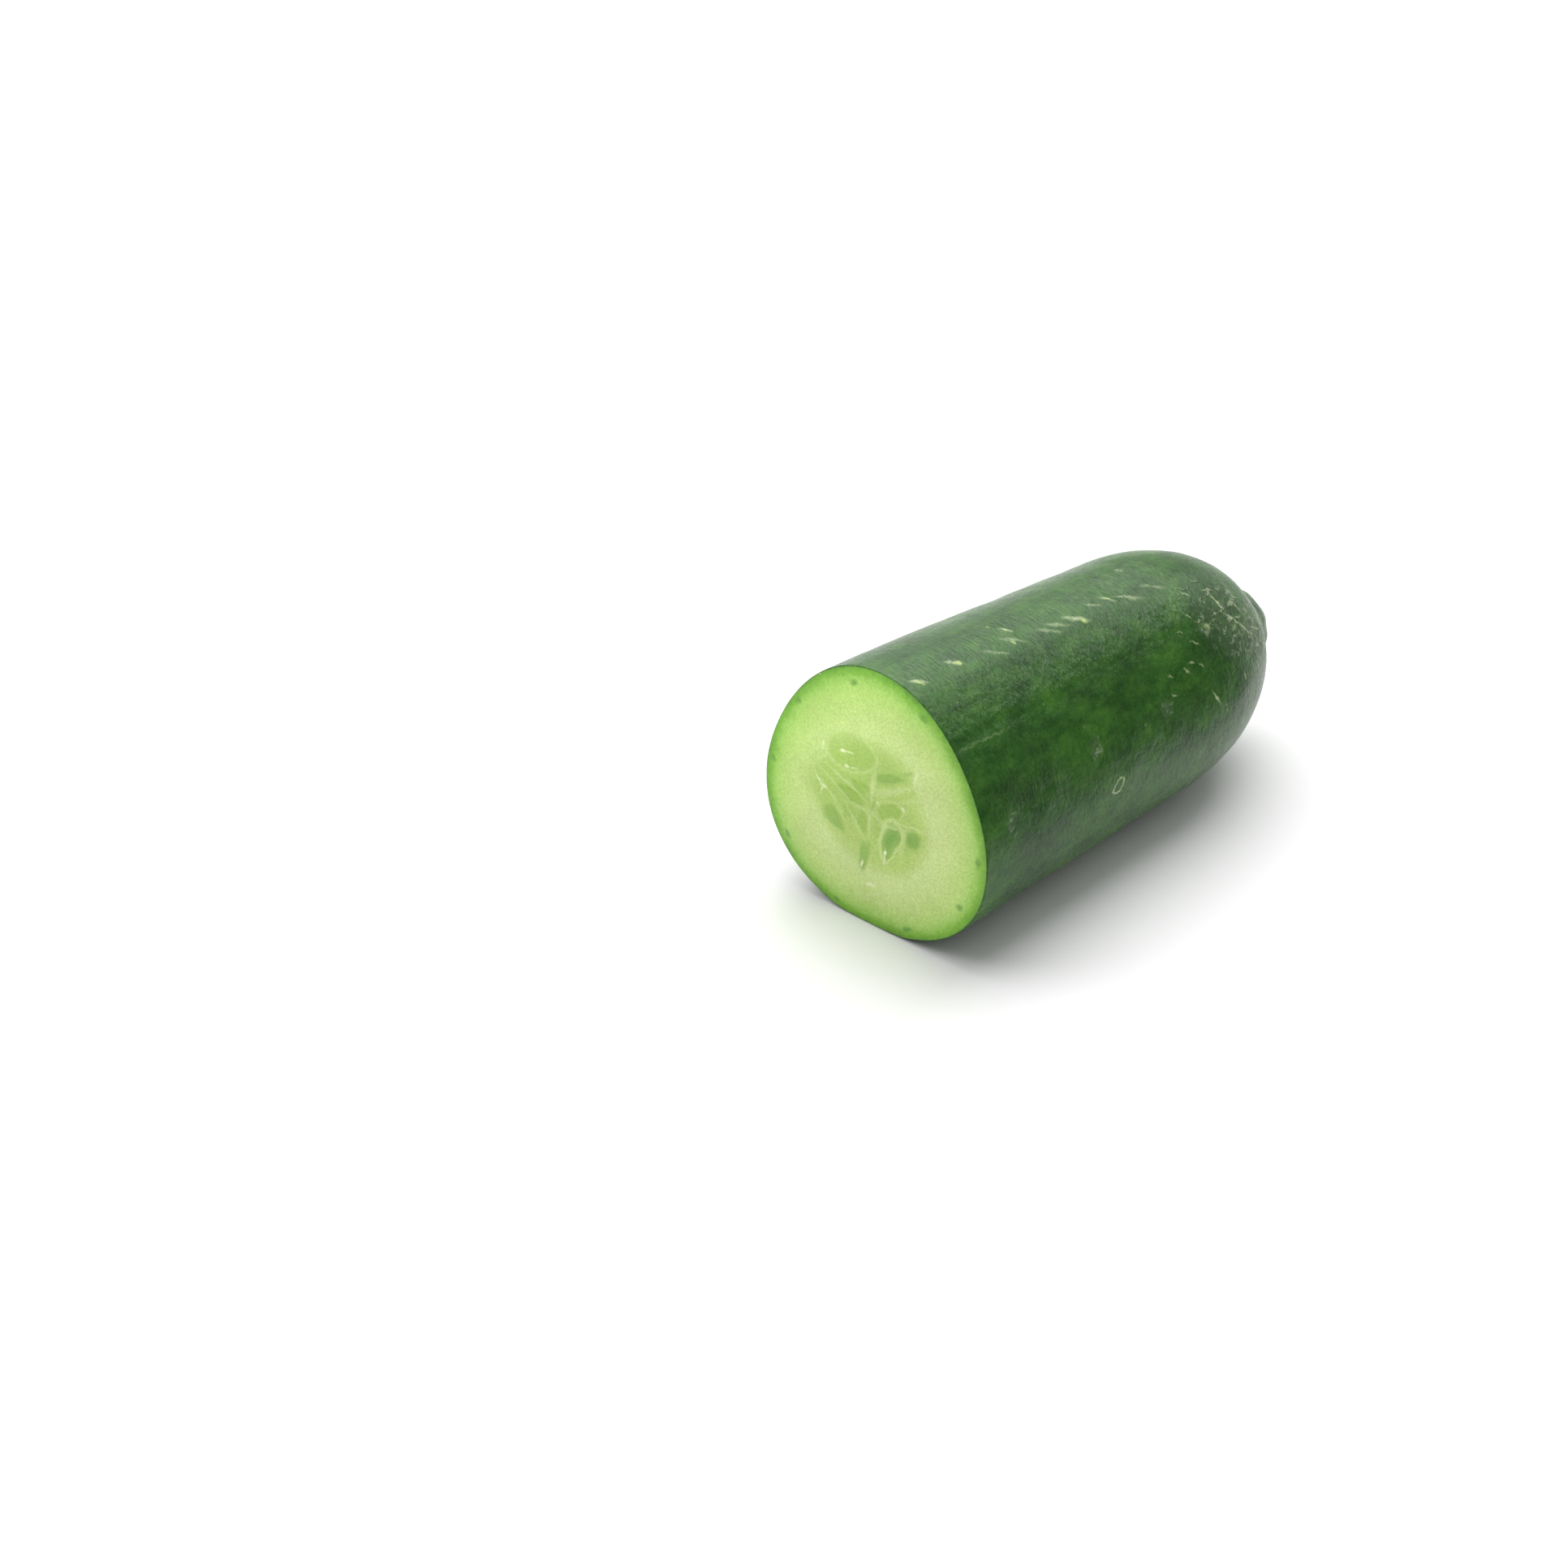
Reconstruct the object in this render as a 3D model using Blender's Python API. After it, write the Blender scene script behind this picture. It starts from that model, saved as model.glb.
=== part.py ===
"""Cut cucumber: one end of a slicing cucumber, cut square across and lying on its flatter side.

Frame: +Y runs from the cut face towards the rounded end, +Z is up, and the origin is the middle
of the underside of the bounding box. Lengths are in metres and angles in radians.

The fruit is one closed skin. Each section is a round that carries three low lobes, one for each
of its seed chambers, and a slight oval. Sections follow a centre line that leaves the cut at a
small angle and then bows, and they close over the crown and the small nub at its tip.
"""

import math

import bmesh
import bpy
from mathutils import Vector

# The whole fruit
CUT_RADIUS = 0.027            # mean radius at the cut face
BODY_LENGTH = 0.1203          # cut face to the top of the crown, without the nub
WAIST_TAPER = 0.00067         # how much thinner the radius is where the crown begins
AXIS_LEAN = math.radians(2.8)  # angle of the centre line off +Y, towards +X, at the cut
AXIS_BOW = 0.0022             # how far the centre line also bows towards +X by the crown's top

# The section
LOBE_HEIGHT = 0.00119         # how far each of the three lobes stands off the mean round
LOBE_TURN = math.radians(89)  # direction of the first lobe, from +X towards +Z
OVAL_HEIGHT = 0.00045         # how far the oval's long side stands off the mean round
OVAL_TURN = math.radians(100)  # direction of the oval's long side
REST_SINK = 0.0004            # how far the soft underside sinks where the fruit lies
REST_SPREAD = 0.0008          # corners this close to the rest bulge down onto it

# The closed end
CROWN_LENGTH = 0.0450         # length over which the body rounds off
CROWN_FULLNESS = 2.23         # 2 is an ellipse, more is a blunter crown
NUB_RADIUS = 0.0116           # radius of the nub at the tip
NUB_LENGTH = 0.0121           # depth of the nub's own dome
NUB_RISE = 0.0071             # how far the nub stands out past the crown
NUB_FULLNESS = 2.3            # 2 is an ellipse, more is a blunter nub
NUB_FILLET = 0.0032           # width of the soft join between the crown and the nub
NUB_OFFSET = 0.0004           # how far the nub sits to the +X side of the centre line

# Facets
SIDES = 48                    # corners around each section
BODY_RINGS = 14               # sections from the cut to the start of the crown
CROWN_RINGS = 30              # sections over the crown and the nub
RING_CROWDING = 1.3           # 1 spaces the crown's sections evenly, more crowds them at the tip
SHARP_ANGLE = math.radians(40)  # edges that turn more than this are shaded sharp
HALVINGS = 50                 # steps that close in on a dome's surface

SKIN_COLOR = (0.03, 0.10, 0.015, 1.0)
SKIN_ROUGHNESS = 0.35
FLESH_COLOR = (0.48, 0.60, 0.22, 1.0)
FLESH_ROUGHNESS = 0.5


def smooth_step(value):
    """Ease from 0 to 1 as value runs from 0 to 1, held flat outside that range."""
    held = min(1.0, max(0.0, value))
    return held * held * (3.0 - 2.0 * held)


def crown_start():
    """Distance along the centre line at which the crown begins."""
    return BODY_LENGTH - CROWN_LENGTH


def body_radius(along):
    """Mean radius of the body at a distance from the cut, before the crown closes it."""
    return CUT_RADIUS - WAIST_TAPER * smooth_step(along / crown_start())


def section_reach(angle, lobes):
    """Distance from the section's middle to its edge for a mean radius of one.

    lobes is 1 where the lobes and the oval are full and 0 where the section is a plain round.
    """
    lobe = LOBE_HEIGHT / CUT_RADIUS * math.cos(3.0 * (angle - LOBE_TURN))
    oval = OVAL_HEIGHT / CUT_RADIUS * math.cos(2.0 * (angle - OVAL_TURN))
    return 1.0 + lobes * (lobe + oval)


def section_angles():
    """The direction of each corner of a section, from +X towards +Z."""
    return [2.0 * math.pi * side / SIDES for side in range(SIDES)]


def section_depth():
    """How far the lowest corner of a full section is below its middle, for a mean radius of one."""
    return max(-section_reach(angle, 1.0) * math.sin(angle) for angle in section_angles())


def dome_reach(swing, middle, length, radius, fullness):
    """Distance from the middle of the crown's base to a dome, or 0 where the dome is missed.

    swing is the angle off the centre line. The dome's own middle is on that line, and the dome
    reaches length ahead of it and radius to the side. A fullness of 2 is an ellipse.
    """
    def is_inside(reach):
        along = abs(reach * math.cos(swing) - middle) / length
        across = reach * math.sin(swing) / radius
        return along ** fullness + across * across < 1.0

    low = middle * math.cos(swing)
    high = middle + length + radius
    if not is_inside(low):
        return 0.0
    for _ in range(HALVINGS):
        reach = 0.5 * (low + high)
        if is_inside(reach):
            low = reach
        else:
            high = reach
    return low


def end_reach(swing):
    """Distance from the middle of the crown's base to the crown and nub, joined softly."""
    crown = dome_reach(swing, 0.0, CROWN_LENGTH, body_radius(crown_start()), CROWN_FULLNESS)
    nub_middle = CROWN_LENGTH + NUB_RISE - NUB_LENGTH
    nub = dome_reach(swing, nub_middle, NUB_LENGTH, NUB_RADIUS, NUB_FULLNESS)
    share = max(0.0, 1.0 - abs(crown - nub) / NUB_FILLET)
    return max(crown, nub) + 0.25 * NUB_FILLET * share * share


def stations():
    """The sections in order from the cut: distance along the centre line, radius and lobe share."""
    found = []
    for ring in range(BODY_RINGS):
        along = crown_start() * ring / BODY_RINGS
        found.append((along, body_radius(along), 1.0))
    for ring in range(CROWN_RINGS):
        swing = 0.5 * math.pi * (1.0 - ring / CROWN_RINGS) ** RING_CROWDING
        reach = end_reach(swing)
        past = reach * math.cos(swing)
        lobes = max(0.0, 1.0 - (past / CROWN_LENGTH) ** 2)
        found.append((crown_start() + past, reach * math.sin(swing), lobes))
    return found


def centre_line(along):
    """The middle of the section at a distance from the cut, and the direction of travel there."""
    share = along / BODY_LENGTH
    past = (along - crown_start()) / CROWN_LENGTH
    sideways = math.tan(AXIS_LEAN) * along + AXIS_BOW * share * share
    sideways += NUB_OFFSET * smooth_step(2.0 * past - 1.0)
    height = section_depth() * body_radius(along) - REST_SINK
    slope = math.tan(AXIS_LEAN) + 2.0 * AXIS_BOW * share / BODY_LENGTH
    return Vector((sideways, along, height)), math.atan(slope)


def place_section(ring, along, radius, lobes):
    """Move a ring of corners onto the section at a distance from the cut.

    Corners below the rest, or within REST_SPREAD of it, lie on it.
    """
    middle, heading = centre_line(along)
    turn = heading * smooth_step(2.0 * along / BODY_LENGTH)
    across = Vector((math.cos(turn), -math.sin(turn), 0.0))
    upward = Vector((0.0, 0.0, 1.0))
    for corner, angle in zip(ring, section_angles()):
        reach = radius * section_reach(angle, lobes)
        corner.co = middle + reach * (math.cos(angle) * across + math.sin(angle) * upward)
        if corner.co.z < REST_SPREAD:
            corner.co.z = 0.0


def next_ring(mesh, ring):
    """Extrude the edges of a ring and give back the new ring, corner for corner."""
    edges = []
    for side in range(SIDES):
        edges.append(mesh.edges.get((ring[side], ring[(side + 1) % SIDES])))
    made = bmesh.ops.extrude_edge_only(mesh, edges=edges)["geom"]
    new = {item for item in made if isinstance(item, bmesh.types.BMVert)}
    found = []
    for corner in ring:
        partner = next(edge.other_vert(corner) for edge in corner.link_edges
                       if edge.other_vert(corner) in new)
        found.append(partner)
    return found


def rest_on_origin(mesh):
    """Slide the mesh so that the middle of its box's underside is the origin."""
    places = [corner.co for corner in mesh.verts]
    low = Vector(min(place[axis] for place in places) for axis in range(3))
    high = Vector(max(place[axis] for place in places) for axis in range(3))
    shift = Vector((-0.5 * (low.x + high.x), -0.5 * (low.y + high.y), -low.z))
    bmesh.ops.translate(mesh, vec=shift, verts=mesh.verts)


def fruit_mesh():
    """The whole fruit as one closed skin, from the cut face to the tip of the nub."""
    mesh = bmesh.new()
    ring = bmesh.ops.create_circle(mesh, cap_ends=True, segments=SIDES, radius=CUT_RADIUS)["verts"]
    places = stations()
    place_section(ring, *places[0])
    for along, radius, lobes in places[1:]:
        ring = next_ring(mesh, ring)
        place_section(ring, along, radius, lobes)
    tip_middle, heading = centre_line(BODY_LENGTH)
    ahead = Vector((math.sin(heading), math.cos(heading), 0.0))
    tip = next_ring(mesh, ring)
    bmesh.ops.pointmerge(mesh, verts=tip, merge_co=tip_middle + NUB_RISE * ahead)
    bmesh.ops.recalc_face_normals(mesh, faces=mesh.faces)
    rest_on_origin(mesh)
    return mesh


def plain_material(name, color, roughness):
    """A Principled BSDF material of one colour, with no metal in it."""
    material = bpy.data.materials.new(name)
    material.use_nodes = True
    shader = material.node_tree.nodes["Principled BSDF"]
    shader.inputs["Base Color"].default_value = color
    shader.inputs["Roughness"].default_value = roughness
    shader.inputs["Metallic"].default_value = 0.0
    material.diffuse_color = color
    return material


def build_cucumber():
    """Add the cucumber to the scene as one object."""
    mesh = fruit_mesh()
    data = bpy.data.meshes.new("cucumber")
    mesh.to_mesh(data)
    mesh.free()
    data.materials.append(plain_material("cucumber_skin", SKIN_COLOR, SKIN_ROUGHNESS))
    data.materials.append(plain_material("cucumber_flesh", FLESH_COLOR, FLESH_ROUGHNESS))
    for face in data.polygons:
        face.material_index = 1 if len(face.vertices) == SIDES else 0
    data.shade_smooth()
    data.set_sharp_from_angle(angle=SHARP_ANGLE)
    fruit = bpy.data.objects.new("cucumber", data)
    bpy.context.collection.objects.link(fruit)
    return fruit


for leftover in list(bpy.data.objects):
    bpy.data.objects.remove(leftover)
build_cucumber()
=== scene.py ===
"""Cut cucumber: the finished look of one cut end of a slicing cucumber.

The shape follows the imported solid. A cage is drawn round it ring by ring, refined and pulled onto
it, and then the skin gets its swellings, dents and spine bases and the cut face its seeds.
Lengths are in metres. +Y runs from the cut face to the rounded end and +Z is up.
"""

import logging
import math
from collections.abc import Callable
from dataclasses import dataclass, field
from enum import Enum

import bpy
import numpy as np
from mathutils import Euler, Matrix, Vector, noise


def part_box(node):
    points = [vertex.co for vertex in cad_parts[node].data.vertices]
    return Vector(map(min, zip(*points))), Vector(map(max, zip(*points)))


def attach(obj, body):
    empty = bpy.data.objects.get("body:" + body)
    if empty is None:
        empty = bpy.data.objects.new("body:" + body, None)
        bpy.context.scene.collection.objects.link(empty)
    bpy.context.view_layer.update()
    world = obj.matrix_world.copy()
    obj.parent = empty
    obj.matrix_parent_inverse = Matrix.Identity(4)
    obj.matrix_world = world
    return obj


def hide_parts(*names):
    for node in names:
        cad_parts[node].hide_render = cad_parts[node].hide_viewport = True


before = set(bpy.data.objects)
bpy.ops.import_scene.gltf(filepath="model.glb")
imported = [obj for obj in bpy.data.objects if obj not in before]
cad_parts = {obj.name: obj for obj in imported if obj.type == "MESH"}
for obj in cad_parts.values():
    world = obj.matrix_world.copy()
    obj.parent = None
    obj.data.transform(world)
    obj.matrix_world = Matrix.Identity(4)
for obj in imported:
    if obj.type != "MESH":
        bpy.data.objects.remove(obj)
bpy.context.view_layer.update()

MEAN_RADIUS = 0.027  # mean radius of the cut face, the unit that its spots are placed in
MILLIMETRE = 0.001
TOUCH = 0.00001      # corners this close to the cut lie on it
WHITE = (1.0, 1.0, 1.0, 1.0)
LOG = logging.getLogger("cucumber")

Colour = tuple[float, float, float, float]
Place = tuple[float, float, float]
Stops = tuple[tuple[float, Colour], ...]
Socket = bpy.types.NodeSocket


def screen(red: int, green: int, blue: int) -> Colour:
    """Turn a colour as a screen shows it into the linear colour that shaders use.

    Args:
        red: Red, 0 to 255.
        green: Green, 0 to 255.
        blue: Blue, 0 to 255.

    Returns:
        The linear colour with full cover.
    """
    linear = []
    for share in (red / 255.0, green / 255.0, blue / 255.0):
        linear.append(share / 12.92 if share <= 0.04045 else ((share + 0.055) / 1.055) ** 2.4)
    return (linear[0], linear[1], linear[2], 1.0)


def ease(value: np.ndarray | float) -> np.ndarray:
    """Ease from 0 to 1 as value runs from 0 to 1, held flat outside that range."""
    held = np.clip(value, 0.0, 1.0)
    return held * held * (3.0 - 2.0 * held)


def turned(across: np.ndarray, up: np.ndarray, turn: float) -> tuple[np.ndarray, np.ndarray]:
    """Turn flat coordinates so that the first runs along a spot's long side.

    Args:
        across: The first coordinate.
        up: The second coordinate.
        turn: How far the spot is turned, in degrees.

    Returns:
        The coordinates along the long side and across it.
    """
    lean = math.radians(turn)
    return (across * math.cos(lean) + up * math.sin(lean),
            up * math.cos(lean) - across * math.sin(lean))


def only(piece: bpy.types.Object) -> None:
    """Select one object and nothing else, and make it the active one.

    Args:
        piece: The object.
    """
    for other in bpy.context.selected_objects:
        other.select_set(False)
    bpy.context.view_layer.objects.active = piece
    piece.select_set(True)


def refine(piece: bpy.types.Object, levels: int) -> None:
    """Subdivide a piece smoothly and apply it.

    Args:
        piece: The piece, which is the active object.
        levels: How many times each face is divided in four.
    """
    finer = piece.modifiers.new("finer", "SUBSURF")
    finer.levels = levels
    finer.render_levels = levels
    bpy.ops.object.modifier_apply(modifier=finer.name)


# ---------------------------------------------------------------- placed marks


class Mark(Enum):
    """What a soft spot stands for on the cut face or on the skin."""

    GEL = "clear flesh round the seeds"
    CELL = "young seed, cut across"
    GREEN = "green seed"
    CORE = "dark middle of a green seed"
    STRAND = "pale wall or strand"
    WHITE = "white seed tip or thread"
    VEIN = "bundle of veins near the skin"
    SCAR = "grey rubbed scar"
    SCRATCH = "pale scratch"
    SPINE = "yellow spine base"


@dataclass(frozen=True)
class Spot:
    """A soft oval on a surface.

    On the cut face, across and up are measured from the middle in mean radii. On the skin, across
    is the direction round the fruit in degrees from +X towards +Z, and up is the distance from
    the cut as a share of the length. Half sizes are in mean radii on the face and in millimetres
    on the skin.
    """

    mark: Mark
    across: float
    up: float
    long: float
    wide: float
    turn: float
    soft: float
    strength: float
    taper: float = 0.0


def spots(mark: Mark, *rows: tuple[float, ...]) -> tuple[Spot, ...]:
    """Make the spots of one kind, each from a row of its other values in order."""
    return tuple(Spot(mark, *row) for row in rows)


FACE_SPOTS: tuple[Spot, ...] = (
    # Clear flesh of the three seed chambers
    *spots(Mark.GEL,
           (-0.02, 0.26, 0.42, 0.22, 2, 0.45, 0.85), (-0.26, -0.03, 0.37, 0.24, -35, 0.45, 0.85),
           (0.2, -0.13, 0.3, 0.24, 60, 0.45, 0.85)),
    # Young seeds cut across
    *spots(Mark.CELL,
           (-0.19, 0.37, 0.22, 0.15, 5, 0.22, 0.38, 0.15),
           (-0.09, 0.12, 0.105, 0.055, -18, 0.28, 1.0, -0.35),
           (-0.2, 0.03, 0.125, 0.055, -22, 0.28, 1.0, -0.35),
           (0.004, 0.019, 0.04, 0.034, 20, 0.3, 0.9),
           (0.165, 0.03, 0.115, 0.07, 33, 0.25, 1.0, 0.3),
           (-0.082, -0.134, 0.09, 0.052, 96, 0.3, 0.85, 0.35),
           (-0.224, -0.112, 0.075, 0.045, 60, 0.4, 0.55),
           (0.0485, -0.12, 0.08, 0.036, 88, 0.4, 0.55, 0.3)),
    # Green seeds
    *spots(Mark.GREEN,
           (0.149, 0.291, 0.135, 0.032, 17, 0.35, 0.85, 0.45),
           (0.285, 0.375, 0.085, 0.016, 32, 0.6, 0.45, 0.2),
           (0.17, -0.205, 0.165, 0.066, 76, 0.18, 0.85, -0.35),
           (0.366, -0.105, 0.07, 0.063, 70, 0.4, 1.0),
           (-0.33, -0.21, 0.11, 0.055, -38, 0.3, 0.8, 0.3),
           (-0.05, -0.4, 0.13, 0.045, 84, 0.3, 0.8, -0.3)),
    *spots(Mark.CORE,
           (0.178, -0.19, 0.105, 0.034, 74, 0.6, 0.85, -0.3),
           (0.355, -0.112, 0.036, 0.03, 60, 0.9, 0.5)),
    # Pale walls from the hub, and strands between the seeds
    *spots(Mark.STRAND,
           (0.005, 0.15, 0.13, 0.022, 86, 0.8, 0.8, -0.3),
           (-0.23, 0.122, 0.2, 0.01, -22, 0.9, 0.8), (-0.33, 0.075, 0.21, 0.009, -31, 0.9, 0.7),
           (-0.36, -0.03, 0.19, 0.009, -40, 0.9, 0.6), (-0.3, -0.11, 0.16, 0.008, -50, 0.9, 0.5),
           (0.33, -0.02, 0.15, 0.01, 4, 0.9, 0.5), (0.36, 0.2, 0.13, 0.012, 22, 0.9, 0.5),
           (0.2, -0.075, 0.16, 0.01, 12, 0.9, 0.6), (0.04, -0.045, 0.07, 0.016, -40, 0.9, 0.6),
           (-0.02, -0.11, 0.11, 0.012, 88, 0.9, 0.7), (-0.13, -0.17, 0.14, 0.014, -52, 0.9, 0.6),
           (0.105, -0.17, 0.13, 0.014, 70, 0.9, 0.6), (0.285, -0.18, 0.12, 0.016, 84, 0.9, 0.5),
           (0.17, 0.2, 0.2, 0.026, 28, 0.9, 0.7, 0.3), (-0.1, -0.03, 0.11, 0.014, -8, 0.9, 0.6),
           (0.06, 0.055, 0.05, 0.012, 62, 0.9, 0.6)),
    # Ends of the three walls
    *spots(Mark.STRAND,
           (-0.5, 0.3, 0.115, 0.01, 50, 0.8, 0.9), (0.41, 0.36, 0.11, 0.035, 100, 0.9, 0.9),
           (0.48, 0.25, 0.09, 0.03, -50, 0.9, 0.6), (0.06, -0.68, 0.12, 0.01, 35, 0.8, 0.9)),
    *spots(Mark.WHITE,
           (-0.44, 0.345, 0.035, 0.012, 80, 0.8, 0.6), (0.365, 0.37, 0.055, 0.012, 84, 0.9, 0.5),
           (0.02, -0.62, 0.045, 0.013, 10, 0.8, 0.6)),
    # White tips and threads
    *spots(Mark.WHITE,
           (-0.262, 0.36, 0.028, 0.013, 8, 0.5, 1.0), (-0.215, 0.368, 0.045, 0.007, 6, 0.9, 0.7),
           (-0.228, 0.25, 0.022, 0.011, 10, 0.6, 0.8), (-0.165, 0.255, 0.045, 0.006, 4, 0.9, 0.4),
           (0.137, -0.3, 0.02, 0.014, 80, 0.5, 0.9), (0.132, -0.34, 0.055, 0.006, 86, 0.8, 0.8),
           (0.273, 0.108, 0.014, 0.014, 0, 0.6, 0.5),
           (-0.475, 0.045, 0.045, 0.007, -48, 0.8, 0.8),
           (-0.44, 0.015, 0.03, 0.013, -10, 0.7, 0.8), (-0.45, -0.01, 0.03, 0.007, 80, 0.8, 0.7),
           (-0.06, -0.47, 0.03, 0.01, 80, 0.6, 0.8)),
)

FACE_RINGS: tuple[Spot, ...] = (
    # Outlines: the big seed lobe, the green seed and the veins at the ends of the walls
    *spots(Mark.STRAND,
           (-0.19, 0.375, 0.225, 0.155, 5, 0.16, 0.5, 0.15),
           (0.17, -0.205, 0.185, 0.082, 76, 0.22, 0.7, -0.35),
           (-0.52, 0.28, 0.165, 0.085, 50, 0.14, 0.7), (0.5, 0.3, 0.2, 0.11, -55, 0.14, 0.5),
           (0.05, -0.67, 0.16, 0.075, 8, 0.14, 0.6),
           (0.165, 0.03, 0.135, 0.088, 33, 0.2, 0.4, 0.3)),
)

SKIN_SPOTS: tuple[Spot, ...] = (
    # Rubbed scar near the rounded end
    *spots(Mark.SCAR,
           (44, 0.706, 7.5, 9.0, 20, 0.6, 0.75), (30, 0.786, 5.0, 7.0, 30, 0.7, 0.7),
           (58, 0.663, 4.0, 6.0, 0, 0.8, 0.45)),
    # Small grey marks
    *spots(Mark.SCAR,
           (19, 0.277, 1.9, 1.4, 10, 0.6, 0.6), (18, 0.467, 1.6, 1.5, 40, 0.6, 0.65),
           (9, 0.066, 1.8, 1.5, 30, 0.7, 0.4), (45, 0.628, 2.2, 2.6, 30, 0.6, 0.75)),
    # Pale scratches
    *spots(Mark.SCRATCH,
           (38, 0.729, 6.0, 0.26, 131, 0.6, 1.0), (11, 0.599, 2.0, 0.24, 149, 0.6, 0.9),
           (62, 0.63, 1.6, 0.2, 135, 0.6, 0.8), (40, 0.584, 1.3, 0.18, 125, 0.6, 0.7),
           (47, 0.562, 1.0, 0.18, 120, 0.6, 0.6), (53, 0.597, 1.1, 0.18, 130, 0.6, 0.6),
           (52, 0.696, 2.4, 0.24, 160, 0.6, 0.9), (47, 0.748, 2.2, 0.22, 145, 0.6, 0.8),
           (31, 0.791, 2.6, 0.24, 110, 0.6, 0.9), (60, 0.691, 1.8, 0.2, 105, 0.6, 0.7),
           (12, 0.7, 0.6, 0.35, 0, 0.7, 0.8), (31, 0.497, 0.8, 0.2, 120, 0.6, 0.6),
           (30, 0.54, 0.9, 0.2, 130, 0.6, 0.6), (32, 0.559, 0.9, 0.22, 115, 0.6, 0.7),
           (29, 0.581, 0.8, 0.2, 125, 0.6, 0.6), (22, 0.492, 0.8, 0.2, 120, 0.6, 0.6),
           (45, 0.064, 6.0, 0.2, 92, 0.9, 0.22)),
    # Slanted pale streaks along the top, with the yellow bases of spines
    *spots(Mark.SCRATCH,
           (76, 0.027, 1.6, 0.45, 122, 0.7, 0.75), (77, 0.112, 1.7, 0.45, 122, 0.7, 0.8),
           (74, 0.189, 2.4, 0.35, 120, 0.8, 0.4), (76, 0.241, 2.0, 0.4, 120, 0.8, 0.6),
           (81.6, 0.251, 1.1, 0.3, 140, 0.6, 0.85), (73, 0.313, 2.4, 0.35, 118, 0.8, 0.45),
           (74, 0.339, 2.4, 0.35, 118, 0.8, 0.5), (73, 0.381, 2.6, 0.5, 120, 0.7, 0.75),
           (76, 0.436, 1.8, 0.3, 118, 0.8, 0.5), (75, 0.473, 1.6, 0.4, 130, 0.7, 0.65),
           (72, 0.514, 2.8, 0.4, 118, 0.7, 0.6), (72, 0.578, 2.6, 0.35, 120, 0.8, 0.45),
           (88, 0.571, 0.8, 0.5, 150, 0.7, 0.55)),
    *spots(Mark.SPINE,
           (75.5, 0.028, 0.55, 0.38, 140, 0.6, 0.9), (76.5, 0.114, 0.6, 0.38, 140, 0.6, 0.9),
           (75, 0.235, 0.45, 0.35, 140, 0.6, 0.8), (81.6, 0.251, 0.4, 0.3, 140, 0.6, 0.8),
           (70.5, 0.388, 0.65, 0.45, 120, 0.6, 1.0), (75, 0.473, 0.4, 0.32, 140, 0.6, 0.7),
           (44, 0.629, 0.8, 0.55, 140, 0.9, 0.6), (87, 0.232, 0.35, 0.3, 0, 0.6, 0.6)),
    # Spine bases on the sides that are turned away
    *spots(Mark.SPINE,
           (128, 0.11, 0.55, 0.4, 60, 0.6, 0.8), (141, 0.265, 0.5, 0.38, 50, 0.6, 0.8),
           (131, 0.43, 0.55, 0.42, 60, 0.6, 0.8), (150, 0.59, 0.5, 0.38, 70, 0.6, 0.8),
           (172, 0.18, 0.55, 0.4, 60, 0.6, 0.8), (186, 0.37, 0.5, 0.4, 50, 0.6, 0.8),
           (178, 0.66, 0.55, 0.38, 60, 0.6, 0.8), (205, 0.52, 0.5, 0.4, 60, 0.6, 0.8),
           (-38, 0.24, 0.5, 0.4, 60, 0.6, 0.8), (-30, 0.56, 0.5, 0.38, 60, 0.6, 0.8)),
)

SKIN_RINGS: tuple[Spot, ...] = (
    # Outline of a small leaf-shaped scar
    *spots(Mark.SCRATCH,
           (-3, 0.321, 2.0, 1.1, 60, 0.24, 1.0)),
)

VEIN_TURNS: tuple[float, ...] = (101.0, 138.0, 176.0, 214.0, 252.0, 293.0, 330.0, 357.0, 28.0, 64.0)


# ---------------------------------------------------------------- shader graphs


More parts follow.
